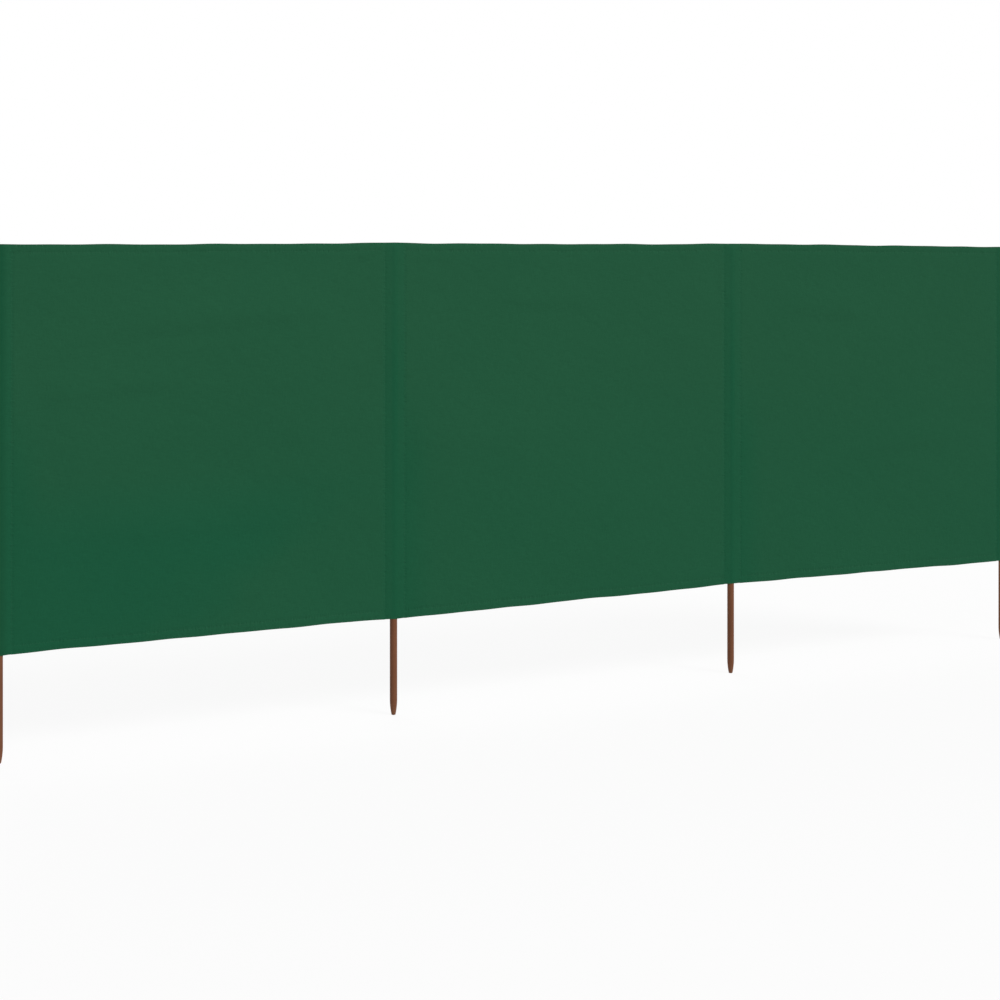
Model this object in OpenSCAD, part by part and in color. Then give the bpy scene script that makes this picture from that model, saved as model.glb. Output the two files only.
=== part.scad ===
// Beach windbreak: a row of wooden poles carrying one long cloth in sewn sleeves.
// Millimetres. The row runs along +X, its front faces -Y and +Z is up.
// The origin is the centre of the blunt foot of the first pole.

/* [Row] */
// Cloth panels in the row, each between two poles
bays = 3; // [1:1:6]
// Distance between neighbouring poles inside the row, centre to centre
bay_w = 1368; // [600:1:2000]
// Distance from an end pole to its neighbour, less by the cloth that wraps the end pole
end_bay_w = 1316; // [600:1:2000]

/* [Poles] */
// Length of a pole, foot to top
pole_len = 1585; // [1200:1:2000]
// Diameter of a pole
pole_d = 25; // [20:0.5:40]
// Bare length of a pole below the cloth, foot included
pole_bare = 331; // [200:1:500]
// Length of the tapered foot
foot_len = 54; // [20:1:120]
// Diameter of the blunt end of the foot, before its rim is rounded
foot_d = 13.5; // [10:0.5:18]
// Rounding of the foot's rim
foot_round = 2.5; // [0.5:0.1:2.5]
// Chamfer round the top of a pole
top_chamfer = 2; // [0.5:0.5:6]

/* [Cloth] */
// Thickness of one layer of cloth
cloth_t = 1; // [0.5:0.1:2]
// Distance of the seams in front of the poles' axes, so that a sleeve swells mostly at the back
cloth_front = 9; // [0:0.5:10]
// Distance between the two seams of an inner sleeve
sleeve_w = 64; // [50:1:120]
// Width over which the two layers of a sleeve are sewn together
seam_w = 10; // [4:1:20]
// Clearance between a pole and its sleeve
sleeve_gap = 0.3; // [0.1:0.1:1]
// Height over which a sleeve closes above its pole, up to the top edge of the cloth
top_close = 15; // [6:1:40]
// Height of the hems along the top and the bottom
hem_h = 30; // [15:1:60]
// Layers folded behind the panel in a hem
hem_layers = 2; // [1:1:3]

/* [Hidden] */
$fn = 64;
arc_step = 6;
foot_arc_step = 1.5;
wood_colour = [0.44, 0.28, 0.21];
cloth_colour = [0.14, 0.33, 0.23];

poles = bays + 1;
pole_r = pole_d / 2;
cloth_top = pole_len + top_close;

// A sleeve's two layers leave the pole along tangents, one in front and one behind,
// and meet at a seam. The front layer runs on from there as the panel.
sleeve_in_r = pole_r + sleeve_gap;
sleeve_out_r = sleeve_in_r + cloth_t;
seam_x = sleeve_w / 2;
seam_end = seam_x + seam_w;
seam_angle = atan(-cloth_front / seam_x);
leave_angle = acos(sleeve_in_r / norm([seam_x, cloth_front]));
front_angle = seam_angle - leave_angle;
back_angle = seam_angle + leave_angle;

// The foot's side is an arc that starts along the pole's side. The arc of the rim
// touches it and the flat end.
foot_drop = pole_r - foot_d / 2;
foot_arc_r = (foot_len ^ 2 + foot_drop ^ 2) / (2 * foot_drop);
foot_arc_x = pole_r - foot_arc_r;
rim_angle = -asin((foot_len - foot_round) / (foot_arc_r - foot_round));
rim_x = foot_arc_x + (foot_arc_r - foot_round) * cos(rim_angle);

function numbered(name, count) = [for (i = [1 : count]) str(name, "_", i)];

function bay_width(j) = j == 1 || j == bays ? end_bay_w : bay_w;
function pole_x(i) = i == 1 ? 0 : pole_x(i - 1) + bay_width(i - 1);
function panel_start(j) = pole_x(j) + seam_end;
function panel_w(j) = bay_width(j) - 2 * seam_end;

// Points along an arc, after its start if skip is 1
function arc(r, from, to, centre = [0, 0], step = arc_step, skip = 0) =
    let (steps = ceil((to - from) / step))
    [for (k = [skip : steps])
        let (angle = from + (to - from) * k / steps)
        centre + r * [cos(angle), sin(angle)]];

// Half of a pole's section, from its axis to its surface
module pole_profile()
    polygon(concat(
        [[0, 0]],
        arc(foot_round, -90, rim_angle, [rim_x, foot_round]),
        arc(foot_arc_r, rim_angle, 0, [foot_arc_x, foot_len], foot_arc_step, 1),
        [
            [pole_r, pole_len - top_chamfer],
            [pole_r - top_chamfer, pole_len],
            [0, pole_len]
        ]
    ));

module pole(i)
    color(wood_colour)
        translate([pole_x(i), 0, 0])
            rotate_extrude() pole_profile();

function mirrored(points) = [for (k = [len(points) - 1 : -1 : 0]) [-points[k].x, points[k].y]];

// Plan of a sleeve at radius r round its pole. The points of wing take the outline from
// its front to its back at a seam: both seams on an inner pole, one on an end pole.
module sleeve_outline(i, r, wing) {
    inner = i > 1 && i < poles;
    mirror([i == poles ? 1 : 0, 0])
        polygon(
            inner
                ? concat(
                    wing,
                    arc(r, back_angle, 180 - back_angle),
                    mirrored(wing),
                    arc(r, 180 - front_angle, 360 + front_angle)
                )
                : concat(wing, arc(r, back_angle, 360 + front_angle))
        );
}

// Plan of the space inside a sleeve
module sleeve_inside(i) sleeve_outline(i, sleeve_in_r, [[seam_x, -cloth_front]]);

// Where the outer side of a layer that leaves the pole at an angle comes to height y in plan
function layer_x(angle, y) = (sleeve_out_r - y * sin(angle)) / cos(angle);

// Plan of a sleeve's outside, with its seams
module sleeve_outside(i) {
    seam_front = -cloth_front - cloth_t;
    seam_back = -cloth_front + cloth_t;
    sleeve_outline(i, sleeve_out_r, [
        [layer_x(front_angle, seam_front), seam_front],
        [seam_end, seam_front],
        [seam_end, seam_back],
        [layer_x(back_angle, seam_back), seam_back]
    ]);
}

// The cloth tube round a pole, open at the bottom
module sleeve(i)
    color(cloth_colour)
        translate([pole_x(i), 0, pole_bare])
            linear_extrude(pole_len - pole_bare)
                difference() {
                    sleeve_outside(i);
                    sleeve_inside(i);
                }

// A roof along the row, from the depth of a sleeve on the end of the pole to a ridge at the seams
module closing_roof(half_depth, ridge_t)
    rotate([90, 0, 90])
        linear_extrude(2 * seam_end + 2 * cloth_t, center = true)
            polygon([
                [-half_depth, 0],
                [half_depth, 0],
                [-cloth_front + ridge_t / 2, top_close],
                [-cloth_front - ridge_t / 2, top_close]
            ]);

// The end of a sleeve, which closes over the pole to a flat seam
module sleeve_cap(i)
    color(cloth_colour)
        translate([pole_x(i), 0, pole_len])
            difference() {
                intersection() {
                    linear_extrude(top_close) sleeve_outside(i);
                    closing_roof(sleeve_out_r + cloth_t, 2 * cloth_t);
                }
                translate([0, 0, -cloth_t])
                    intersection() {
                        linear_extrude(top_close) sleeve_inside(i);
                        closing_roof(sleeve_out_r, cloth_t);
                    }
            }

// One bay of cloth, from seam to seam
module panel(j)
    color(cloth_colour)
        translate([panel_start(j), -cloth_front - cloth_t, pole_bare])
            cube([panel_w(j), cloth_t, cloth_top - pole_bare]);

// Folded layers along one edge, behind the panel
module hem(j, bottom)
    color(cloth_colour)
        translate([panel_start(j), -cloth_front, bottom])
            cube([panel_w(j), hem_layers * cloth_t, hem_h]);

module top_hem(j) hem(j, cloth_top - hem_h);

module bottom_hem(j) hem(j, pole_bare);

for (i = [1 : poles]) {
    pole(i);
    sleeve(i);
    sleeve_cap(i);
}
for (j = [1 : bays]) {
    panel(j);
    top_hem(j);
    bottom_hem(j);
}
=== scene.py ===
"""Beach windbreak: the looks of its cloth, sewing and poles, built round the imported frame."""

import math

import bpy
import numpy as np
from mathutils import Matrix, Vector


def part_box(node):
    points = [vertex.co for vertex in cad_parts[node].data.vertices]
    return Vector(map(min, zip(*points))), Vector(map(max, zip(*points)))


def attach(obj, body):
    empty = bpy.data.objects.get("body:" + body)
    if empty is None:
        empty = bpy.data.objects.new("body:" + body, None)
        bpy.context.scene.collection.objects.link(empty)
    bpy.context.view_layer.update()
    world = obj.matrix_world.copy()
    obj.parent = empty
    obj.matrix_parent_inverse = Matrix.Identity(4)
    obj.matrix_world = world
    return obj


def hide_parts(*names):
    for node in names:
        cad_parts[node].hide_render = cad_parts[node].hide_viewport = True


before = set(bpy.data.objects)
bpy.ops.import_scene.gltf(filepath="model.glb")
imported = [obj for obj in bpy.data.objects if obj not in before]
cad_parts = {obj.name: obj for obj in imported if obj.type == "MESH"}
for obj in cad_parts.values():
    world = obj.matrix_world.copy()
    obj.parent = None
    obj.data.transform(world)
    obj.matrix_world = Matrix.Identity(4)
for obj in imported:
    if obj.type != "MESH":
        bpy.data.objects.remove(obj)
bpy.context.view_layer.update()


def corners(node):
    """Lowest and highest corner of a node, to a tenth of a millimetre"""
    return np.round(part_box(node), 4)


def middle(node):
    """Middle of a node, between its two corners"""
    return np.round(corners(node).mean(axis=0), 4)


# The row, in metres, as the frame has it. The first pole stands at the origin, and the front of the
# cloth faces -Y.
POLE_NAMES = sorted(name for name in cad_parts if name.startswith("pole_"))
POLE_X = np.array([middle(name)[0] for name in POLE_NAMES])
BAYS = len(POLE_X) - 1
ROW_END = POLE_X[-1]
POLE_R, _, POLE_TOP = corners("pole_1")[1]
CLOTH_BOTTOM, CLOTH_TOP = corners("panel_1")[:, 2]
HEM_H = round(np.ptp(corners("top_hem_1")[:, 2]), 4)

# Layers of cloth, each given by the middle of its thickness. A sleeve's back layer lies behind the
# panel at the seams, and slants from SEAM_X, where the sewing starts, to the pole.
CLOTH_T = 0.0006
SLEEVE_GAP = 0.0003
SLEEVE_R = POLE_R + SLEEVE_GAP + CLOTH_T / 2
PANEL_Y = middle("panel_1")[1]
BACK_Y = PANEL_Y + 0.0007
SEAM_END = corners("panel_1")[0, 0]
SEAM_W = 0.010
SEAM_X = round(SEAM_END - SEAM_W, 4)

# Hems: the fold's radius, how far the folded layer lifts a sleeve's seam and over which height the
# seam comes down again, the depth of the hem over a sleeve, how far a sleeve's back ends below the
# top edge, where the hem of a panel starts and has its full depth, and its gap from a seam
FOLD_R = 0.0005
HEM_LIFT = 2 * FOLD_R
LIFT_EASE = 0.012
POCKET_HEM = 0.010
STRIP_DROP = 0.0015
FULL_HEM = (0.030, 0.038)
HEM_GAP = 0.002

# The cloth's edges at the poles, where each sleeve sits a little higher or lower, how far they hang
# between the poles of each bay and how flat they hang there, and the top edge's drop at both ends
TOP_AT = CLOTH_TOP + np.array([-0.0060, 0.0030, 0.0040, -0.0060])
BOTTOM_AT = CLOTH_BOTTOM + np.array([0.0015, -0.0030, 0.0045, -0.0100])
TOP_SAG = np.array([0.0022, 0.0032, 0.0000])
BOTTOM_SAG = np.array([-0.0025, 0.0022, 0.0005])
TOP_FLATNESS = 3
BOTTOM_FLATNESS = 6
CORNER_DROP = 0.0020
CORNER_REACH = 0.012
# Small waves of the edges: height, wavelength, and phase at the top and at the bottom
EDGE_WAVES = [(0.0005, 0.310, (0.5, 3.9)), (0.0004, 0.173, (2.0, 0.8)), (0.0006, 0.470, (4.1, 5.2))]
TOP, BOTTOM = 0, 1

# Sewing: the pitch of the stitches, the distances of their rows from an edge, or for SEAM_ROW from a
# pole's axis, and how far from a row the cloth puckers
STITCH_PITCH = 0.004
EDGE_ROW = 0.0035
HEM_ROW = 0.026
SEAM_ROW = 0.037
PUCKER_REACH = 0.006
# A sleeve closes from just above the end of its pole to just below its top row of stitches
CLOSING_START = POLE_TOP + 0.0004
CLOSED = EDGE_ROW + 0.0003
CLOSING_CURVE = 1.1

# Slack of the cloth: long low waves (height, wavelengths along and up, phase)
WAVES = [
    (0.0030, 2.10, 0.95, 0.4),
    (0.0022, -1.30, 0.62, 2.1),
    (0.0014, 0.80, 1.40, 4.0),
    (0.0009, 0.55, -0.48, 1.2),
]
WAVE_FULLNESS = 0.8
# Shallow folds: the two ends of the crest along and up, how far the cloth falls back below the
# crest, and how far the crest stands out
FOLDS = [
    (0.36, 1.335, 1.04, 1.390, 0.060, 0.0056),
    (0.12, 1.120, 0.57, 1.170, 0.042, 0.0042),
    (0.50, 1.041, 0.65, 1.036, 0.016, -0.0011),
    (1.70, 1.412, 2.08, 1.400, 0.045, 0.0038),
    (1.73, 0.930, 1.86, 0.925, 0.026, 0.0012),
    (2.91, 1.376, 3.30, 1.342, 0.055, 0.0042),
    (0.25, 0.690, 0.95, 0.700, 0.060, 0.0030),
    (3.15, 0.800, 3.75, 0.860, 0.060, 0.0030),
]
# How much wider a fold is above its crest, and the shares of its length between which it sets in
UPPER_SIDE = 2.5
FOLD_START = (-0.12, 0.25)
# Wrinkles: height, and their size along and up. At an edge only a share of them is left, and the
# rest sets in between two distances from it.
WRINKLES = [(0.0010, 0.130, 0.085), (0.0006, 0.060, 0.042)]
EDGE_SHARE = 0.3
WRINKLE_START = (0.012, 0.060)
# The random heights that the wrinkles follow, and the column of them at the start of the row
RANDOM_HEIGHTS = np.random.default_rng(11).uniform(-1, 1, (64, 128))
FIRST_COLUMN = 9
# Distances from a seam between which the slack sets in
SLACK_START = (0.004, 0.060)


def smooth(low, high, value):
    """0 at low, 1 at high, with soft ends"""
    t = np.clip((value - low) / (high - low), 0, 1)
    return t * t * (3 - 2 * t)


def from_pole(x):
    """Distance along the row from the nearest pole's axis"""
    return np.min(np.abs(np.asarray(x)[..., None] - POLE_X), axis=-1)


def in_bay(x):
    """Number of the bay and the share of it that lies before x"""
    bay = np.clip(np.searchsorted(POLE_X, x, side="right") - 1, 0, BAYS - 1)
    return bay, np.clip((x - POLE_X[bay]) / np.diff(POLE_X)[bay], 0, 1)


def hang(x, sag, flatness):
    """How far an edge hangs below the straight line between two poles"""
    bay, share = in_bay(x)
    return sag[bay] * (1 - np.abs(2 * share - 1) ** flatness)


def edge_wave(x, edge):
    """Small waves of the top or the bottom edge"""
    return sum(h * np.sin(2 * math.pi * x / length + phase[edge]) for h, length, phase in EDGE_WAVES)


def top_edge(x):
    to_end = np.minimum(x + SLEEVE_R, ROW_END + SLEEVE_R - x)
    corner = CORNER_DROP * smooth(CORNER_REACH, 0, to_end)
    return np.interp(x, POLE_X, TOP_AT) - hang(x, TOP_SAG, TOP_FLATNESS) - corner + edge_wave(x, TOP)


def bottom_edge(x):
    return np.interp(x, POLE_X, BOTTOM_AT) - hang(x, BOTTOM_SAG, BOTTOM_FLATNESS) + edge_wave(x, BOTTOM)


def from_edge(x, z):
    """Distance from the nearer of the two edges"""
    return np.minimum(top_edge(x) - z, z - bottom_edge(x))


def touch_angle(seam_y, side):
    """Where a layer that comes from a seam touches the round of its pole"""
    reach = math.hypot(SEAM_X, seam_y)
    return math.atan2(seam_y, SEAM_X) + side * math.acos(SLEEVE_R / reach)


FRONT_TOUCH = touch_angle(PANEL_Y, -1)
BACK_TOUCH = touch_angle(BACK_Y, 1)


def on_round(angle):
    """Point of a sleeve's round in plan"""
    return SLEEVE_R * math.cos(angle), SLEEVE_R * math.sin(angle)


def front_plan(x):
    """Depth of the front layer in plan: flat in the bays, and over a pole two tangents and its round"""
    away = from_pole(x)
    touch_x, touch_y = on_round(FRONT_TOUCH)
    round_y = -np.sqrt(np.maximum(SLEEVE_R**2 - away**2, 0))
    slant_y = touch_y + (PANEL_Y - touch_y) * (away - touch_x) / (SEAM_X - touch_x)
    return np.where(away < touch_x, round_y, np.where(away < SEAM_X, slant_y, PANEL_Y))


def openness(x, z):
    """1 round the pole, 0 where a sleeve is sewn flat above it"""
    share = (z - CLOSING_START) / (top_edge(x) - CLOSED - CLOSING_START)
    return 1 - np.clip(share, 0, 1) ** CLOSING_CURVE


def hem_lift(x, z):
    """How far the hem's folded layer lifts a sleeve's seam off the panel"""
    return HEM_LIFT * smooth(HEM_H + LIFT_EASE, HEM_H, from_edge(x, z))


def random_relief(along, up):
    """Random heights on a grid of unit steps, smoothly joined"""
    rows, columns = RANDOM_HEIGHTS.shape
    column, row = np.floor(along).astype(int), np.floor(up).astype(int)
    share, rise = smooth(0, 1, along - column), smooth(0, 1, up - row)

    def level(at_row):
        first, second = (RANDOM_HEIGHTS[at_row % rows, (column + step) % columns] for step in (0, 1))
        return first * (1 - share) + second * share

    return level(row) * (1 - rise) + level(row + 1) * rise


def wrinkles(x, z):
    """Uneven relief of the cloth, weaker in the stiff hems"""
    relief = sum(h * random_relief(x / along + FIRST_COLUMN, z / up) for h, along, up in WRINKLES)
    return relief * (EDGE_SHARE + (1 - EDGE_SHARE) * smooth(*WRINKLE_START, from_edge(x, z)))


def fold_height(x, z, fold):
    """How far a shallow fold stands out of the cloth"""
    x0, z0, x1, z1, fall, crest = fold
    length = math.hypot(x1 - x0, z1 - z0)
    ux, uz = (x1 - x0) / length, (z1 - z0) / length
    along = ((x - x0) * ux + (z - z0) * uz) / length
    across = (z - z0) * ux - (x - x0) * uz
    ends = smooth(*FOLD_START, along) * smooth(*FOLD_START, 1 - along)
    return crest * ends * smooth(-fall, 0, across) * smooth(UPPER_SIDE * fall, 0, across)


def slack(x, z):
    """Waves, wrinkles and folds of the panels, which die out at the sleeves"""
    share = in_bay(x)[1]
    waves = sum(h * np.sin(2 * math.pi * (x / along + z / up) + phase) for h, along, up, phase in WAVES)
    depth = waves * np.sin(math.pi * share) ** WAVE_FULLNESS + wrinkles(x, z)
    for fold in FOLDS:
        depth = depth - fold_height(x, z, fold)
    return depth * smooth(*SLACK_START, from_pole(x) - SEAM_END)


def layer(x, z, plan_y, back, wing):
    """Depth of a layer at a height. back is 1 on the back of a sleeve, wing is 1 on its seams."""
    lift = hem_lift(x, z) * back
    flat = PANEL_Y * (1 - back) + BACK_Y * back + lift
    return flat + (plan_y + lift * wing - flat) * openness(x, z) + slack(x, z)


def front_layer(x, z):
    return layer(x, z, front_plan(x), 0, 0)


def back_layer(x, z):
    """The rearmost layer of the sewn edges: near a pole a sleeve's seam, elsewhere the hem's folded layer"""
    folded = front_layer(x, z) + 2 * FOLD_R
    return np.where(from_pole(x) < SEAM_END, BACK_Y + hem_lift(x, z), folded)


# Columns of the cloth's grid, in plan: their steps on a sleeve and along a panel, and the places
# beside a sleeve at which the one goes over into the other
FINE = 0.0035
COARSE = 0.017
EASE = np.array([0, 0.004, 0.0085, 0.014, 0.021, 0.030, 0.042])
# Degrees round an end pole between which the back of its sleeve becomes the front, and from which
# a column lies on the seams
SIDE_TURN = (150, 205)
SEAM_SECTOR = 300


def steps(start, end, step):
    """Points from start up to, but without, end"""
    start, end = np.array(start), np.array(end)
    count = max(1, round(np.linalg.norm(end - start) / step))
    return [tuple(start + (end - start) * k / count) for k in range(count)]


def round_steps(start, end, step):
    """Points of a sleeve's round between two angles"""
    count = max(1, round(abs(end - start) * SLEEVE_R / step))
    return [on_round(angle) for angle in np.linspace(start, end, count + 1)]


def sleeve_back():
    """Plan of the back of a sleeve, from the edge of its seam to where it touches the pole"""
    seam = steps((SEAM_END, BACK_Y), (SEAM_X, BACK_Y), FINE)
    return seam + steps((SEAM_X, BACK_Y), on_round(BACK_TOUCH), FINE)


def seam_wing(x):
    """1 on a seam, 0 where the back of a sleeve touches its pole"""
    return smooth(on_round(BACK_TOUCH)[0], SEAM_X, x)


def end_columns():
    """Columns at the first pole, from the seam at the back round the pole to the seam in front"""
    arc = round_steps(BACK_TOUCH, 2 * math.pi + FRONT_TOUCH, FINE)
    front = steps(arc[-1], (SEAM_X, PANEL_Y), FINE)[1:]
    x, y = np.array(sleeve_back() + arc + front).T
    angle = np.degrees(np.arctan2(y, x)) % 360
    first_half = np.arange(len(x)) < len(x) / 2
    back = np.where(angle < SEAM_SECTOR, 1 - smooth(*SIDE_TURN, angle), first_half)
    return x, y, back, seam_wing(x)


def at_last_pole(columns):
    """Columns at the first pole, mirrored to the last"""
    x, *others = (part[::-1] for part in columns)
    return ROW_END - x, *others


def panel_columns(bay):
    """Places along a bay between two sleeves, closer to each other at the sleeves"""
    start, end = POLE_X[bay] + SEAM_X, POLE_X[bay + 1] - SEAM_X
    between = np.arange(start + EASE[-1], end - EASE[-1], COARSE)[1:]
    between = between[between < end - EASE[-1] - COARSE / 2]
    return np.concatenate([start + EASE, between, end - EASE[::-1]])


def pole_columns(pole):
    """Places across the front of an inner sleeve, without its seams"""
    count = round(2 * SEAM_X / FINE)
    return POLE_X[pole] + np.linspace(-SEAM_X, SEAM_X, count + 1)[1:-1]


def cloth_columns():
    """Columns of the whole cloth: x and y in plan, how much each is back of a sleeve, and how much seam"""
    places = [panel_columns(0)]
    for pole in range(1, BAYS):
        places += [pole_columns(pole), panel_columns(pole)]
    x = np.concatenate(places)
    between = (x, front_plan(x), np.zeros(len(x)), np.zeros(len(x)))
    return [np.concatenate(parts) for parts in zip(end_columns(), between, at_last_pole(end_columns()))]


def strip_columns(pole):
    """Columns of the strip at the back of an inner pole, from seam to seam"""
    half = sleeve_back()
    arc = round_steps(BACK_TOUCH, math.pi - BACK_TOUCH, FINE)
    x, y = np.array(half + arc + [(-x, y) for x, y in half[::-1]]).T
    return POLE_X[pole] + x, y, np.ones(len(x)), seam_wing(np.abs(x))


# Rows of the cloth's grid: above the bottom edge, below the end of a pole, and the shares at which
# they lie between the end of a pole, the row of stitches that closes its sleeve and the top edge
EDGE_STEPS = np.array([FOLD_R, 0.0035, 0.009, 0.016, 0.0215, 0.026, 0.0305, 0.036, 0.044])
SHOULDER_STEPS = np.array([0.034, 0.027, 0.0215, 0.0165, 0.012, 0.008, 0.004, 0.0018, 0])
CLOSING_SHARES = np.array([0.12, 0.28, 0.46, 0.64, 0.82, 1.0])
FOLD_SHARES = np.array([0.5, 1.0])
ROW_STEP = 0.0125
# A hem's fold, by the angle, and the layer behind it, by the share of its depth
FOLD_TURNS = np.radians([30, 60, 90, 120, 150, 180])
FLAP_SHARES = np.array([0.15, 0.4, 0.7, 1.0])


def body_rows():
    """Heights above the bottom edge of the rows up to the end of a pole, closer to each other in the hems"""
    height = CLOSING_START - CLOTH_BOTTOM
    start, end = EDGE_STEPS[-1], height - SHOULDER_STEPS[0]
    between = np.linspace(start, end, round((end - start) / ROW_STEP) + 1)[1:-1]
    return np.concatenate([EDGE_STEPS, between, height - SHOULDER_STEPS])


def spread_rows(x, back):
    """Heights of all rows at all columns, between the cloth's two edges"""
    bottom = bottom_edge(x)
    body = bottom + body_rows()[:, None] * (CLOSING_START - bottom) / (CLOSING_START - CLOTH_BOTTOM)
    closed = top_edge(x) - CLOSED
    closing = CLOSING_START + CLOSING_SHARES[:, None] * (closed - CLOSING_START)
    fold = closed + FOLD_SHARES[:, None] * (CLOSED - FOLD_R - STRIP_DROP * back)
    return np.concatenate([body, closing, fold])


def hem_flap(x, edge, direction, depth, shape):
    """A fold at an edge of the cloth and the layer that goes back behind it"""
    start = edge - direction * FOLD_R
    y, z = [], []
    for turn in FOLD_TURNS:
        z.append(start + direction * FOLD_R * math.sin(turn))
        y.append(layer(x, start, *shape) + FOLD_R * (1 - math.cos(turn)))
    for share in FLAP_SHARES:
        z.append(start - direction * share * depth)
        y.append(layer(x, z[-1], *shape) + 2 * FOLD_R)
    return np.array(y), np.array(z)


# Marks on the cloth that its material reads. The painted shade over the sleeves, a deeper green where
# the pole and the sleeve lie behind the cloth: how soft its edges are at a pole and past a seam, its
# strength on the sleeve and beside it, how far it reaches to the right of a pole, and between which
# heights it sets in there.
POLE_SOFT = 0.004
SEAM_SOFT = 0.006
SLEEVE_SHADE_SHARE = 0.6
BESIDE_SHADE_SHARE = 0.8
BESIDE_SHADE_REACH = 0.16
BESIDE_SHADE_START = (1.15, 0.80)


def sleeve_shade_mask(x, z):
    """Painted shade at the sleeves, a deeper green: most at a pole, and low down also on the right of it"""
    away = from_pole(x)
    pole = smooth(POLE_R + POLE_SOFT, POLE_R - POLE_SOFT, away)
    sleeve = SLEEVE_SHADE_SHARE * smooth(SEAM_END + SEAM_SOFT, SEAM_X, away)
    past = x - POLE_X[in_bay(x)[0]]
    beside = BESIDE_SHADE_SHARE * smooth(BESIDE_SHADE_REACH, SEAM_X, past) * smooth(*BESIDE_SHADE_START, z)
    return np.maximum.reduce([pole, sleeve, beside])


def near_row(away):
    """1 on a row of stitches, falling off on both sides of it"""
    return np.exp(-((away / PUCKER_REACH) ** 2))


def sewn_across(x, z):
    """1 on the rows of stitches in the hems, 0 away from them"""
    inwards = from_edge(x, z)
    in_panel = smooth(SEAM_X, SEAM_END, from_pole(x))
    return np.maximum(near_row(inwards - EDGE_ROW), near_row(inwards - HEM_ROW) * in_panel)


def choose(piece):
    bpy.ops.object.select_all(action="DESELECT")
    piece.select_set(True)
    bpy.context.view_layer.objects.active = piece


def add_mesh(name, points, faces):
    mesh = bpy.data.meshes.new(name)
    mesh.from_pydata(points.tolist(), [], faces)
    piece = bpy.data.objects.new(name, mesh)
    bpy.context.collection.objects.link(piece)
    choose(piece)
    return piece


def grid_faces(keep):
    """The points of a grid that its kept cells use, and the cells as faces between those points"""
    rows, columns = keep.shape
    used = np.zeros((rows + 1, columns + 1), bool)
    for up in (0, 1):
        for right in (0, 1):
            used[up : up + rows, right : right + columns] |= keep
    number = np.cumsum(used).reshape(used.shape) - 1
    row, column = np.nonzero(keep)
    around = [(row, column), (row, column + 1), (row + 1, column + 1), (row + 1, column)]
    return used, np.stack([number[corner] for corner in around], axis=1)


SMOOTH_ANGLE = math.radians(50)


def add_sheet(name, x, y, z, u, v, keep):
    """A sheet from a grid of points, with its own cloth coordinates in metres and a thickness"""
    used, faces = grid_faces(keep)
    x, y, z, u, v = (np.broadcast_to(part, used.shape)[used] for part in (x, y, z, u, v))
    sheet = add_mesh(name, np.stack([x, y, z], axis=1), faces.tolist())
    flat = np.stack([u, v], axis=1)
    sheet.data.uv_layers.new(name="cloth").data.foreach_set("uv", flat[faces.ravel()].ravel())
    marks = {
        # painted shade at the sleeves, which the cloth's material reads
        "painted sleeve shade": sleeve_shade_mask(x, z),
        "sewn across": sewn_across(x, z),
        "sewn up": near_row(from_pole(x) - SEAM_ROW),
    }
    for label, values in marks.items():
        sheet.data.attributes.new(label, "FLOAT", "POINT").data.foreach_set("value", values)
    thick = sheet.modifiers.new("thickness", "SOLIDIFY")
    thick.thickness = CLOTH_T
    thick.offset = 0
    thick.use_even_offset = True
    bpy.ops.object.modifier_apply(modifier=thick.name)
    bpy.ops.object.shade_smooth_by_angle(angle=SMOOTH_ANGLE)
    return sheet


def path_length(first, second):
    """Length of a path of points at each of them, down the first axis of two arrays"""
    lengths = np.cumsum(np.hypot(np.diff(first, axis=0), np.diff(second, axis=0)), axis=0)
    return np.concatenate([np.zeros_like(lengths[:1]), lengths])


def make_cloth():
    """The long cloth, which wraps both end poles and has a hem folded back at the top and the bottom"""
    x, *shape = cloth_columns()
    plan_y, back, _ = shape
    z = spread_rows(x, back)
    pocket = np.minimum(POCKET_HEM, top_edge(x) - CLOSING_START)
    top_depth = pocket + (HEM_H - pocket) * smooth(*FULL_HEM, from_pole(x))
    low_y, low_z = hem_flap(x, bottom_edge(x), -1, HEM_H, shape)
    high_y, high_z = hem_flap(x, top_edge(x), 1, top_depth, shape)
    y = np.concatenate([low_y[::-1], layer(x, z, *shape), high_y])
    z = np.concatenate([low_z[::-1], z, high_z])
    front = back == 0
    in_panel = front & (from_pole(x) > SEAM_X + HEM_GAP)
    keep = np.ones((len(y) - 1, len(x) - 1), bool)
    keep[: len(low_y)] = in_panel[1:] & in_panel[:-1]
    keep[-len(high_y) :] = front[1:] & front[:-1]
    u = path_length(x, plan_y)
    v = path_length(y, z)
    v -= v[len(low_y)]
    return add_sheet("windbreak_cloth", x, y, z, u, v, keep), u[-1]


def make_strip(pole):
    """The strip sewn behind an inner pole, which makes its sleeve"""
    x, plan_y, back, wing = strip_columns(pole)
    z = spread_rows(x, back)
    y = layer(x, z, plan_y, back, wing)
    u = path_length(x, plan_y)
    keep = np.ones((len(y) - 1, len(x) - 1), bool)
    return add_sheet(f"sleeve_strip_{pole + 1}", x, y, z, u, path_length(y, z), keep), u[-1]


# Stitches: the thread's radius, how a ball of it is drawn out, the ends that dip into the cloth and
# how far they dip, and how far a stitch lies above the cloth
THREAD_R = 0.00038
DRAWN_OUT = (4.3, 1, 0.9)
STITCH_ENDS = 0.001
DIP = 0.00030
LIE = 0.0001
# Steps of the paths that rows of stitches follow, and the length over which a path's run is taken
ACROSS_STEP = 0.002
UP_STEP = 0.004
RUN = 0.0005
# How far rows up the seams stay from the edges, and rows over the end poles reach past the axes
SEAM_ROW_INSET = 0.005
PAST_AXIS = 0.009


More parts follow.
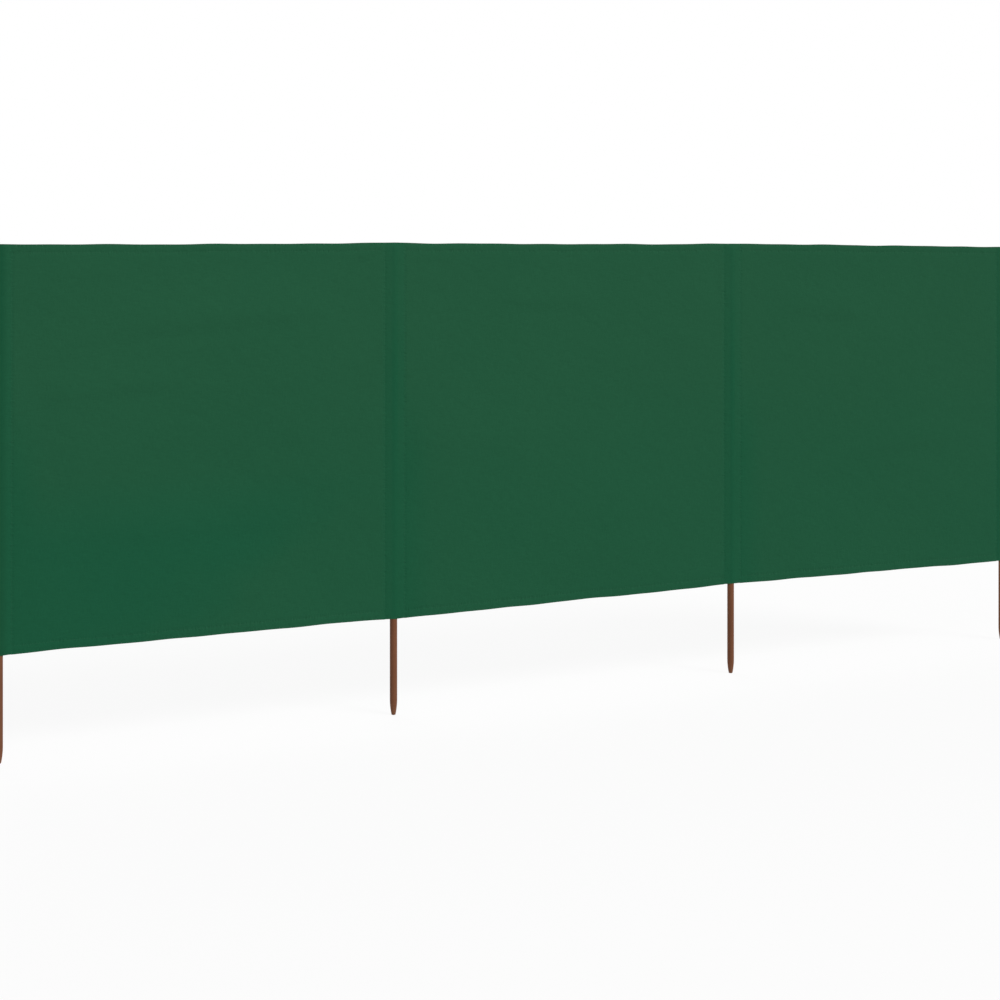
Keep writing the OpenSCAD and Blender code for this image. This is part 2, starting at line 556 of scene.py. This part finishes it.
def make_stitch():
    """One stitch along X, whose ends dip into the cloth: its points and faces"""
    bpy.ops.object.select_all(action="DESELECT")
    bpy.ops.mesh.primitive_uv_sphere_add(segments=5, ring_count=4, radius=THREAD_R)
    stitch = bpy.context.object
    bpy.ops.object.mode_set(mode="EDIT")
    bpy.ops.transform.rotate(value=math.radians(90), orient_axis="Y", center_override=(0, 0, 0))
    bpy.ops.transform.resize(value=DRAWN_OUT, center_override=(0, 0, 0))
    bpy.ops.object.mode_set(mode="OBJECT")
    for point in stitch.data.vertices:
        point.select = abs(point.co.x) > STITCH_ENDS
    bpy.ops.object.mode_set(mode="EDIT")
    bpy.ops.transform.translate(value=(0, 0, -DIP))
    bpy.ops.object.mode_set(mode="OBJECT")
    points = np.array([point.co for point in stitch.data.vertices])
    faces = [list(face.vertices) for face in stitch.data.polygons]
    bpy.data.objects.remove(stitch)
    return points, faces


def sew(name, rows):
    """Stitches in rows, each row as sewn_row gives it"""
    start, run, out = (np.concatenate(parts) for parts in zip(*rows))
    points, faces = make_stitch()
    turned = points @ np.stack([run, np.cross(out, run), out], axis=1)
    first = np.arange(len(start))[:, None] * len(points)
    all_faces = [stitch for face in faces for stitch in (first + np.array(face)).tolist()]
    stitches = add_mesh(name, (start[:, None] + turned).reshape(-1, 3), all_faces)
    bpy.ops.object.shade_smooth()
    return stitches


def unit(vectors):
    return vectors / np.linalg.norm(vectors, axis=-1, keepdims=True)


def at_lengths(wanted, length, path):
    """Points, or ways out, at wanted lengths along a path"""
    return np.stack([np.interp(wanted, length, path[:, k]) for k in range(3)], axis=1)


def sewn_row(path, out):
    """Places of the stitches along a path, the way the sewing runs and the way out of the cloth"""
    length = np.concatenate([[0], np.cumsum(np.linalg.norm(np.diff(path, axis=0), axis=1))])
    wanted = np.arange(STITCH_PITCH / 2, length[-1], STITCH_PITCH)
    run = unit(at_lengths(wanted + RUN, length, path) - at_lengths(wanted - RUN, length, path))
    out = at_lengths(wanted, length, out)
    out = unit(out - run * np.sum(out * run, axis=1, keepdims=True))
    return at_lengths(wanted, length, path) + out * (CLOTH_T / 2 + LIE), run, out


def flat_row(path, out_y):
    """A row on a part of the cloth that faces straight forwards or backwards"""
    return sewn_row(path, np.tile([0.0, out_y, 0.0], (len(path), 1)))


def row_across(start, end, edge, rise, depth):
    """A path along the row, a rise above an edge, on the layer with the given depth"""
    x = np.arange(start, end, ACROSS_STEP)
    z = edge(x) + rise
    return np.stack([x, depth(x, z), z], axis=1)


def rows_on_both_sides(start, end, edge, rise):
    """The same row of stitches on the front and on the back"""
    front = flat_row(row_across(start, end, edge, rise, front_layer), -1)
    return [front, flat_row(row_across(start, end, edge, rise, back_layer), 1)]


def hem_rows(edge, direction):
    """Rows along one edge of each panel: near the fold and near the folded layer's end"""
    rows = []
    for bay in range(BAYS):
        start, end = POLE_X[bay] + SEAM_END + HEM_GAP, POLE_X[bay + 1] - SEAM_END - HEM_GAP
        for inwards in (EDGE_ROW, HEM_ROW):
            rows += rows_on_both_sides(start, end, edge, -direction * inwards)
    return rows


def top_rows():
    """The top hem's rows, and the rows over the poles that close the sleeves"""
    rows = hem_rows(top_edge, 1)
    for x in POLE_X:
        start, end = max(x - SEAM_END, -PAST_AXIS), min(x + SEAM_END, ROW_END + PAST_AXIS)
        rows += rows_on_both_sides(start, end, top_edge, -EDGE_ROW)
    return rows


def mouth_row(x, plan_y, back, wing):
    """A row round the mouth of a sleeve, which faces away from the pole"""
    z = bottom_edge(x) + EDGE_ROW
    path = np.stack([x, layer(x, z, plan_y, back, wing), z], axis=1)
    run = np.gradient(path, axis=0)
    return sewn_row(path, unit(np.stack([run[:, 1], -run[:, 0], np.zeros(len(x))], axis=1)))


def bottom_rows():
    """The bottom hem's rows, and the rows round the mouths of the sleeves"""
    rows = hem_rows(bottom_edge, -1)
    for x in POLE_X[1:-1]:
        rows.append(flat_row(row_across(x - SEAM_END, x + SEAM_END, bottom_edge, EDGE_ROW, front_layer), -1))
    mouths = [end_columns(), at_last_pole(end_columns())]
    mouths += [strip_columns(pole) for pole in range(1, BAYS)]
    return rows + [mouth_row(*columns) for columns in mouths]


def seam_rows():
    """Rows up the seams of the sleeves, on the front and the back"""
    rows = []
    for x in (pole + side * SEAM_ROW for pole in POLE_X for side in (-1, 1)):
        if 0 < x < ROW_END:
            z = np.arange(bottom_edge(x) + SEAM_ROW_INSET, top_edge(x) - SEAM_ROW_INSET, UP_STEP)
            for y, out_y in ((front_layer(x, z), -1), (BACK_Y + hem_lift(x, z), 1)):
                rows.append(flat_row(np.stack([np.full(len(z), x), y, z], axis=1), out_y))
    return rows


cloth, cloth_length = make_cloth()
strips = [make_strip(pole) for pole in range(1, BAYS)]
top_stitches = sew("top_hem_stitches", top_rows())
bottom_stitches = sew("bottom_hem_stitches", bottom_rows())
seam_stitches = sew("sleeve_seam_stitches", seam_rows())


def wire(tree, value, socket):
    """Links a value that comes from a node, or writes a plain one on the socket"""
    if isinstance(value, bpy.types.NodeSocket):
        tree.links.new(value, socket)
    else:
        socket.default_value = value


def calc(tree, operation, *values):
    node = tree.nodes.new("ShaderNodeMath")
    node.operation = operation
    for value, socket in zip(values, node.inputs):
        wire(tree, value, socket)
    return node.outputs[0]


def hypotenuse(tree, x, y):
    """Distance of a place from the origin, in plan"""
    squares = calc(tree, "ADD", calc(tree, "MULTIPLY", x, x), calc(tree, "MULTIPLY", y, y))
    return calc(tree, "SQRT", squares)


def combine(tree, x, y, z):
    node = tree.nodes.new("ShaderNodeCombineXYZ")
    for value, socket in zip((x, y, z), node.inputs):
        wire(tree, value, socket)
    return node.outputs[0]


def split(tree, vector):
    node = tree.nodes.new("ShaderNodeSeparateXYZ")
    wire(tree, vector, node.inputs[0])
    return node.outputs


def noise(tree, vector, scale, detail=2.0):
    node = tree.nodes.new("ShaderNodeTexNoise")
    wire(tree, vector, node.inputs["Vector"])
    wire(tree, scale, node.inputs["Scale"])
    node.inputs["Detail"].default_value = detail
    return node.outputs[0]


def cloth_noise(tree, u, v, along, up, layer_number):
    """Noise on the cloth, so many to the metre along and up. Each layer of it is another."""
    place = combine(tree, calc(tree, "MULTIPLY", u, along), calc(tree, "MULTIPLY", v, up), layer_number)
    return noise(tree, place, 1.0)


def spread(tree, value, low, high, to_low=0.0, to_high=1.0):
    node = tree.nodes.new("ShaderNodeMapRange")
    node.interpolation_type = "SMOOTHSTEP"
    for given, socket in zip((value, low, high, to_low, to_high), node.inputs):
        wire(tree, given, socket)
    return node.outputs[0]


def blend(tree, share, first, second, kind="MIX"):
    node = tree.nodes.new("ShaderNodeMix")
    node.data_type = "RGBA"
    node.blend_type = kind
    wire(tree, share, node.inputs["Factor"])
    wire(tree, first, node.inputs[6])
    wire(tree, second, node.inputs[7])
    return node.outputs[2]


def bump(tree, height, depth, strength, normal=None):
    node = tree.nodes.new("ShaderNodeBump")
    wire(tree, height, node.inputs["Height"])
    node.inputs["Distance"].default_value = depth
    node.inputs["Strength"].default_value = strength
    if normal is not None:
        wire(tree, normal, node.inputs["Normal"])
    return node.outputs[0]


def mark(tree, name):
    node = tree.nodes.new("ShaderNodeAttribute")
    node.attribute_name = name
    return node.outputs["Fac"]


def new_group(name, inputs, outputs):
    group = bpy.data.node_groups.new(name, "ShaderNodeTree")
    for label, kind in inputs:
        group.interface.new_socket(label, in_out="INPUT", socket_type=kind)
    for label, kind in outputs:
        group.interface.new_socket(label, in_out="OUTPUT", socket_type=kind)
    return group, group.nodes.new("NodeGroupInput").outputs, group.nodes.new("NodeGroupOutput").inputs


def use_group(tree, group, **values):
    node = tree.nodes.new("ShaderNodeGroup")
    node.node_tree = group
    for label, value in values.items():
        wire(tree, value, node.inputs[label])
    return node.outputs


# Threads of the cloth, and their slubs, to the metre
THREADS = 1250.0
SLUBS_ALONG = 30.0
SLUBS_ACROSS = 620.0


def weave_group():
    """A plain weave: a pillow where each thread shows, warp and weft by turns, and uneven threads"""
    group, given, result = new_group(
        "plain weave",
        [("Cloth", "NodeSocketVector"), ("Threads", "NodeSocketFloat")],
        [("Height", "NodeSocketFloat"), ("Warp", "NodeSocketFloat"), ("Slub", "NodeSocketFloat")],
    )
    u, v, _ = split(group, given["Cloth"])
    turn = calc(group, "MULTIPLY", given["Threads"], math.pi)
    across = calc(group, "SINE", calc(group, "MULTIPLY", u, turn))
    up = calc(group, "SINE", calc(group, "MULTIPLY", v, turn))
    crossing = calc(group, "MULTIPLY", across, up)
    wire(group, calc(group, "POWER", calc(group, "ABSOLUTE", crossing), 0.5), result["Height"])
    wire(group, spread(group, crossing, -0.2, 0.2), result["Warp"])
    weft = cloth_noise(group, u, v, SLUBS_ALONG, SLUBS_ACROSS, 0.0)
    warp = cloth_noise(group, u, v, SLUBS_ACROSS, SLUBS_ALONG, 7.0)
    wire(group, calc(group, "MULTIPLY", calc(group, "ADD", weft, warp), 0.5), result["Slub"])
    return group


def drift_group():
    """Slow drift of tone over a surface"""
    group, given, result = new_group(
        "tone drift",
        [("Place", "NodeSocketVector"), ("Size", "NodeSocketFloat")],
        [("Drift", "NodeSocketFloat")],
    )
    clouds = noise(group, given["Place"], calc(group, "DIVIDE", 1.0, given["Size"]), 3.0)
    wire(group, spread(group, clouds, 0.3, 0.7), result["Drift"])
    return group


WEAVE = weave_group()
DRIFT = drift_group()


def new_material(name):
    material = bpy.data.materials.new(name)
    material.use_nodes = True
    tree = material.node_tree
    return material, tree, tree.nodes["Principled BSDF"].inputs, tree.nodes.new("ShaderNodeTexCoord").outputs


# Greens of the cloth and its sewing, and the darker greens of the painted shade on the cloth
UPPER_GREENS = ((0.0139, 0.0862, 0.0402, 1), (0.0148, 0.0882, 0.0412, 1))
LOW_SHADE_GREEN = (0.0092, 0.0857, 0.0402, 1)
SLEEVE_SHADE_GREEN = (0.0088, 0.0840, 0.0386, 1)
END_SHADE_GREEN = (0.0082, 0.0730, 0.0330, 1)
SLUB_TONES = ((0.80, 0.82, 0.81, 1), (1.20, 1.18, 1.19, 1))
CROSSING_TONES = ((0.95, 0.96, 0.95, 1), (1.05, 1.04, 1.05, 1))
SHEEN_GREEN = (0.35, 0.62, 0.47, 1)
SEWING_GREENS = ((0.014, 0.088, 0.042, 1), (0.019, 0.108, 0.053, 1))
# Where the greens go over into each other, all of it painted shade: the darker low corner of the first
# bay, by its heights and by the slant of its edge, the darker lower part of all bays, the top of the
# sleeves' painted shade, and the painted shade at the first end
SHADED_CORNER_HEIGHTS = (0.98, 0.60)
SHADED_CORNER_SLANT = -1.3
SHADED_CORNER_EDGE = (0.60, -0.10)
SHADE_EDGE_DRIFT = 0.25
LOWER_SHADE = (1.30, 0.55, 0.0, 0.35)
SLEEVE_SHADE_TOP = (1.50, 1.10, 0.55, 1.0)
FIRST_END_SHADE = (0.030, 0.002)
# Sizes of the drift of tone, in the cloth and in the thread
CLOTH_DRIFT = 0.55
THREAD_DRIFT = 0.004
# Puckers and small creases to the metre, and how far the hems and seams are drawn in
PUCKERS_ALONG = 110.0
PUCKERS_ACROSS = 30.0
CREASES_ALONG = 30.0
CREASES_UP = 42.0
HEM_PULL = 0.75
SEAM_PULL = 0.7
# Reliefs of the cloth: depth and strength
CREASE_RELIEF = (0.0016, 1.0)
PUCKER_RELIEF = (0.004, 1.0)
SLUB_RELIEF = (0.00025, 0.3)
WEAVE_RELIEF = (0.00012, 0.35)
# Roughness: the two values of a slub, or of the thread's drift, and the roughness at each
CLOTH_ROUGHNESS = (0.3, 0.7, 0.95, 0.84)
THREAD_ROUGHNESS = (0, 1, 0.6, 0.5)


def green_with_painted_shade(tree, place):
    """The cloth's green with painted shade: darker low down, in the first bay's low corner, at the sleeves
    and one end
    """
    x, _, z = split(tree, place)
    drift = use_group(tree, DRIFT, Place=place, Size=CLOTH_DRIFT)["Drift"]
    slant = calc(tree, "MULTIPLY_ADD", z, SHADED_CORNER_SLANT, x)
    edge = spread(tree, calc(tree, "MULTIPLY_ADD", drift, SHADE_EDGE_DRIFT, slant), *SHADED_CORNER_EDGE)
    shaded_corner = calc(tree, "MULTIPLY", edge, spread(tree, z, *SHADED_CORNER_HEIGHTS))
    # Painted shade: a darker green low down in all bays, and most in the first bay's low corner
    painted_shade = calc(tree, "MAXIMUM", shaded_corner, spread(tree, z, *LOWER_SHADE))
    tone = blend(tree, painted_shade, blend(tree, drift, *UPPER_GREENS), LOW_SHADE_GREEN)
    # Painted shade over the sleeves, a deeper green that is weaker towards their top
    behind = calc(tree, "MULTIPLY", mark(tree, "painted sleeve shade"), spread(tree, z, *SLEEVE_SHADE_TOP))
    tone = blend(tree, behind, tone, SLEEVE_SHADE_GREEN)
    # Painted shade at the first end, where the cloth turns round its pole
    return blend(tree, spread(tree, x, *FIRST_END_SHADE), tone, END_SHADE_GREEN)


def pull_of_stitches(tree, u, v):
    """Height of the cloth along its rows of stitches, drawn in and puckered between them"""
    across = cloth_noise(tree, u, v, PUCKERS_ALONG, PUCKERS_ACROSS, 0.0)
    up = cloth_noise(tree, u, v, PUCKERS_ACROSS, PUCKERS_ALONG, 5.0)
    hems = calc(tree, "MULTIPLY", mark(tree, "sewn across"), calc(tree, "SUBTRACT", across, HEM_PULL))
    seams = calc(tree, "MULTIPLY", mark(tree, "sewn up"), calc(tree, "SUBTRACT", up, SEAM_PULL))
    return calc(tree, "ADD", hems, seams)


def cloth_relief(tree, u, v, weave):
    """Small creases, the pull of the stitches, and the threads"""
    relief = bump(tree, cloth_noise(tree, u, v, CREASES_ALONG, CREASES_UP, 2.0), *CREASE_RELIEF)
    relief = bump(tree, pull_of_stitches(tree, u, v), *PUCKER_RELIEF, relief)
    relief = bump(tree, weave["Slub"], *SLUB_RELIEF, relief)
    return bump(tree, weave["Height"], *WEAVE_RELIEF, relief)


def cloth_material():
    material, tree, finish, place = new_material("dark green plain weave")
    u, v, _ = split(tree, place["UV"])
    weave = use_group(tree, WEAVE, Cloth=place["UV"], Threads=THREADS)
    tone = green_with_painted_shade(tree, place["Object"])
    tone = blend(tree, 1.0, tone, blend(tree, weave["Slub"], *SLUB_TONES), "MULTIPLY")
    tone = blend(tree, 1.0, tone, blend(tree, weave["Warp"], *CROSSING_TONES), "MULTIPLY")
    wire(tree, tone, finish["Base Color"])
    wire(tree, spread(tree, weave["Slub"], *CLOTH_ROUGHNESS), finish["Roughness"])
    wire(tree, cloth_relief(tree, u, v, weave), finish["Normal"])
    finish["Specular IOR Level"].default_value = 0.07
    finish["Sheen Weight"].default_value = 0.015
    finish["Sheen Roughness"].default_value = 0.5
    finish["Sheen Tint"].default_value = SHEEN_GREEN
    return material


def thread_material():
    material, tree, finish, place = new_material("green sewing thread")
    drift = use_group(tree, DRIFT, Place=place["Object"], Size=THREAD_DRIFT)["Drift"]
    wire(tree, blend(tree, drift, *SEWING_GREENS), finish["Base Color"])
    wire(tree, spread(tree, drift, *THREAD_ROUGHNESS), finish["Roughness"])
    finish["Specular IOR Level"].default_value = 0.3
    return material


# Stain of the poles, and the tones in it with their greatest shares
STAINS = ((0.152, 0.0545, 0.0235, 1), (0.176, 0.065, 0.0285, 1))
LATE_WOOD, LATE_SHARE = (0.100, 0.033, 0.014, 1), 0.45
PALE_STREAK, STREAK_SHARE = (0.210, 0.086, 0.039, 1), 0.30
PORE_DARK, PORE_SHARE = (0.070, 0.026, 0.015, 1), 0.45
RUBBED_WOOD, RUBBED_SHARE = (0.300, 0.170, 0.105, 1), 0.35
STAIN_DRIFT = 0.06
RUBBED_HEIGHT = 0.045
# Grain: rings, streaks and pores to the metre, and how slowly each of them changes up the pole. The
# rings' centre lies beside the pole, a little further on each next one.
RINGS, RINGS_UP = 420.0, 0.04
STREAKS, STREAKS_UP = 900.0, 0.02
PORES, PORES_UP = 2600.0, 0.02
STAIN_UP = 0.35
RING_CENTRE = (-0.031, -0.012)
RING_SHIFT = 0.006
RING_WANDER = 3.0
WANDER_SCALE = 60.0
# Values of the rings, streaks and pores at which a tone sets in and is full. Rubbed wood follows the
# streaks too.
LATE_EDGE = (0.45, 0.95)
STREAK_EDGE = (0.35, 0.75)
PORE_EDGE = (0.60, 0.72)
RUBBED_EDGE = (0.45, 0.62)
# Roughness: two values of the streaks and the roughness at each, and how much rougher rubbed wood is
WOOD_ROUGHNESS = (0.3, 0.7, 0.50, 0.62)
RUBBED_ROUGHER = 0.15
# Relief of the wood: how far late wood rises against the depth of a pore, depth and strength
LATE_RISE = 0.4
WOOD_RELIEF = (0.00015, 0.4)


def place_on_pole(tree, x):
    """The number of the pole at x, and how far x lies from its axis. The middle bay is the widest."""
    pole = calc(tree, "ROUND", calc(tree, "DIVIDE", x, ROW_END / BAYS))
    past_middle = calc(tree, "GREATER_THAN", pole, 1.5)
    less = calc(tree, "MULTIPLY", past_middle, 2 * POLE_X[1] - POLE_X[2])
    axis = calc(tree, "SUBTRACT", calc(tree, "MULTIPLY", pole, POLE_X[1]), less)
    return pole, calc(tree, "SUBTRACT", x, axis)


def late_wood(tree, pole, across, y, long_way):
    """The dark side of the growth rings, cut lengthwise"""
    wander = noise(tree, combine(tree, across, y, long_way), WANDER_SCALE)
    centre_y = calc(tree, "ADD", calc(tree, "MULTIPLY", pole, RING_SHIFT), -RING_CENTRE[1])
    off_x = calc(tree, "ADD", across, -RING_CENTRE[0])
    radius = hypotenuse(tree, off_x, calc(tree, "ADD", y, centre_y))
    wander = calc(tree, "MULTIPLY", wander, RING_WANDER)
    ring = calc(tree, "ADD", calc(tree, "MULTIPLY", radius, RINGS), wander)
    return spread(tree, calc(tree, "FRACT", ring), *LATE_EDGE)


def wood_material():
    """Stained softwood: growth rings, streaks, fine pores, and rubbed feet"""
    material, tree, finish, place = new_material("brown stained wood")
    x, y, z = split(tree, place["Object"])
    pole, across = place_on_pole(tree, x)
    long_way = calc(tree, "ADD", calc(tree, "MULTIPLY", z, RINGS_UP), pole)
    late = late_wood(tree, pole, across, y, long_way)
    slower = calc(tree, "MULTIPLY", long_way, STREAKS_UP / RINGS_UP)
    streak = noise(tree, combine(tree, across, y, slower), STREAKS, 3.0)
    pore = noise(tree, combine(tree, across, y, calc(tree, "MULTIPLY", z, PORES_UP)), PORES, 1.0)
    pore = spread(tree, pore, *PORE_EDGE)
    drawn_out = combine(tree, x, y, calc(tree, "MULTIPLY", z, STAIN_UP))
    drift = use_group(tree, DRIFT, Place=drawn_out, Size=STAIN_DRIFT)["Drift"]
    near_foot = spread(tree, z, RUBBED_HEIGHT, 0.0)
    rubbed = calc(tree, "MULTIPLY", near_foot, spread(tree, streak, *RUBBED_EDGE))
    stain = blend(tree, drift, *STAINS)
    stain = blend(tree, calc(tree, "MULTIPLY", late, LATE_SHARE), stain, LATE_WOOD)
    stain = blend(tree, spread(tree, streak, *STREAK_EDGE, 0.0, STREAK_SHARE), stain, PALE_STREAK)
    stain = blend(tree, calc(tree, "MULTIPLY", pore, PORE_SHARE), stain, PORE_DARK)
    stain = blend(tree, calc(tree, "MULTIPLY", rubbed, RUBBED_SHARE), stain, RUBBED_WOOD)
    wire(tree, stain, finish["Base Color"])
    satin = spread(tree, streak, *WOOD_ROUGHNESS)
    rougher = calc(tree, "MULTIPLY", rubbed, RUBBED_ROUGHER)
    wire(tree, calc(tree, "ADD", satin, rougher), finish["Roughness"])
    relief = calc(tree, "SUBTRACT", calc(tree, "MULTIPLY", late, LATE_RISE), pore)
    wire(tree, bump(tree, relief, *WOOD_RELIEF), finish["Normal"])
    finish["Specular IOR Level"].default_value = 0.18
    return material


green_cloth = cloth_material()
thread = thread_material()
stained_wood = wood_material()

for piece in [cloth] + [strip for strip, _ in strips]:
    piece.data.materials.append(green_cloth)
for piece in (top_stitches, bottom_stitches, seam_stitches):
    piece.data.materials.append(thread)
for name in POLE_NAMES:
    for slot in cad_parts[name].material_slots:
        slot.material = stained_wood

cloth_nodes = [f"{name}_{bay}" for name in ("panel", "top_hem", "bottom_hem") for bay in range(1, BAYS + 1)]
end_nodes = [f"{name}_{pole}" for name in ("sleeve", "sleeve_cap") for pole in (1, BAYS + 1)]
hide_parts(*cloth_nodes, *end_nodes)
for number, (strip, width) in enumerate(strips, start=2):
    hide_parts(f"sleeve_{number}", f"sleeve_cap_{number}")
for piece in [cloth, top_stitches, bottom_stitches, seam_stitches] + [strip for strip, _ in strips]:
    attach(piece, "root")


# Studio
FLOOR_R = 60
FLOOR_GREY = (0.86, 0.86, 0.86, 1)
# Distances from the middle of the row between which the floor goes over into the white background,
# and how white it looks there
WHITENING = (2.5, 9.0, 0.90, 1.0)
WORLD_LIGHT = 0.30
AIM = (ROW_END / 2, 0, 0.9)
KEY_AT, KEY_STRENGTH, KEY_ANGLE = (6.0, -6.0, 7.0), 2.0, math.radians(24)
FILL_AT, FILL_POWER, FILL_SIZE = (1.2, -4.0, 4.6), 40, 4.0
BACK_AT, BACK_POWER, BACK_SIZE = (2.0, 5.0, 4.0), 160, 5.0
# The camera stands level, at eye height, and its picture is shifted down
CAMERA_AT = (-1.097, -5.630, 1.5584)
CAMERA_TURN = math.radians(-26.585)
SENSOR, LENS, SHIFT_UP = 36, 64.81, -0.2442


def background_rays(tree):
    """1 for rays that the camera sees directly, in a gloss or through glass"""
    rays = tree.nodes.new("ShaderNodeLightPath").outputs
    by_surface = calc(tree, "MAXIMUM", rays["Is Glossy Ray"], rays["Is Transmission Ray"])
    return calc(tree, "MAXIMUM", rays["Is Camera Ray"], by_surface)


def mix_surface(tree, share, first, second, output):
    mix = tree.nodes.new("ShaderNodeMixShader")
    wire(tree, share, mix.inputs[0])
    wire(tree, tree.nodes[first].outputs[0], mix.inputs[1])
    wire(tree, second.outputs[0], mix.inputs[2])
    wire(tree, mix.outputs[0], tree.nodes[output].inputs["Surface"])


def make_floor():
    """A pale floor that takes the shadow and goes over into white"""
    bpy.ops.object.select_all(action="DESELECT")
    row_middle = (ROW_END / 2, 0, 0)
    bpy.ops.mesh.primitive_circle_add(vertices=64, radius=FLOOR_R, fill_type="NGON", location=row_middle)
    floor = bpy.context.object
    floor.name = "studio_floor"
    material, tree, finish, place = new_material("pale studio floor")
    finish["Base Color"].default_value = FLOOR_GREY
    finish["Roughness"].default_value = 0.9
    finish["Specular IOR Level"].default_value = 0.1
    x, y, _ = split(tree, place["Object"])
    whiteness = spread(tree, hypotenuse(tree, x, y), *WHITENING)
    share = calc(tree, "MULTIPLY", background_rays(tree), whiteness)
    mix_surface(tree, share, "Principled BSDF", tree.nodes.new("ShaderNodeEmission"), "Material Output")
    floor.data.materials.append(material)


def make_world():
    """Soft light from all round, in front of a white background"""
    world = bpy.data.worlds.new("studio")
    world.use_nodes = True
    tree = world.node_tree
    white = tree.nodes.new("ShaderNodeBackground")
    for node, strength in ((tree.nodes["Background"], WORLD_LIGHT), (white, 1.0)):
        node.inputs["Color"].default_value = (1, 1, 1, 1)
        node.inputs["Strength"].default_value = strength
    mix_surface(tree, background_rays(tree), "Background", white, "World Output")
    bpy.context.scene.world = world


def add_lamp(kind, name, place, energy):
    bpy.ops.object.select_all(action="DESELECT")
    bpy.ops.object.light_add(type=kind, location=place)
    lamp = bpy.context.object
    lamp.name = name
    lamp.data.energy = energy
    lamp.rotation_euler = (Vector(AIM) - lamp.location).to_track_quat("-Z", "Y").to_euler()
    return lamp.data


def make_lamps():
    add_lamp("SUN", "far_soft_key", KEY_AT, KEY_STRENGTH).angle = KEY_ANGLE
    add_lamp("AREA", "fill", FILL_AT, FILL_POWER).size = FILL_SIZE
    add_lamp("AREA", "back", BACK_AT, BACK_POWER).size = BACK_SIZE


def make_camera():
    bpy.ops.object.select_all(action="DESELECT")
    bpy.ops.object.camera_add(location=CAMERA_AT, rotation=(math.radians(90), 0, CAMERA_TURN))
    camera = bpy.context.object
    camera.data.sensor_fit = "HORIZONTAL"
    camera.data.sensor_width = SENSOR
    camera.data.lens = LENS
    camera.data.shift_y = SHIFT_UP
    bpy.context.scene.camera = camera


make_floor()
make_world()
make_lamps()
make_camera()
bpy.context.scene.view_settings.view_transform = "Standard"
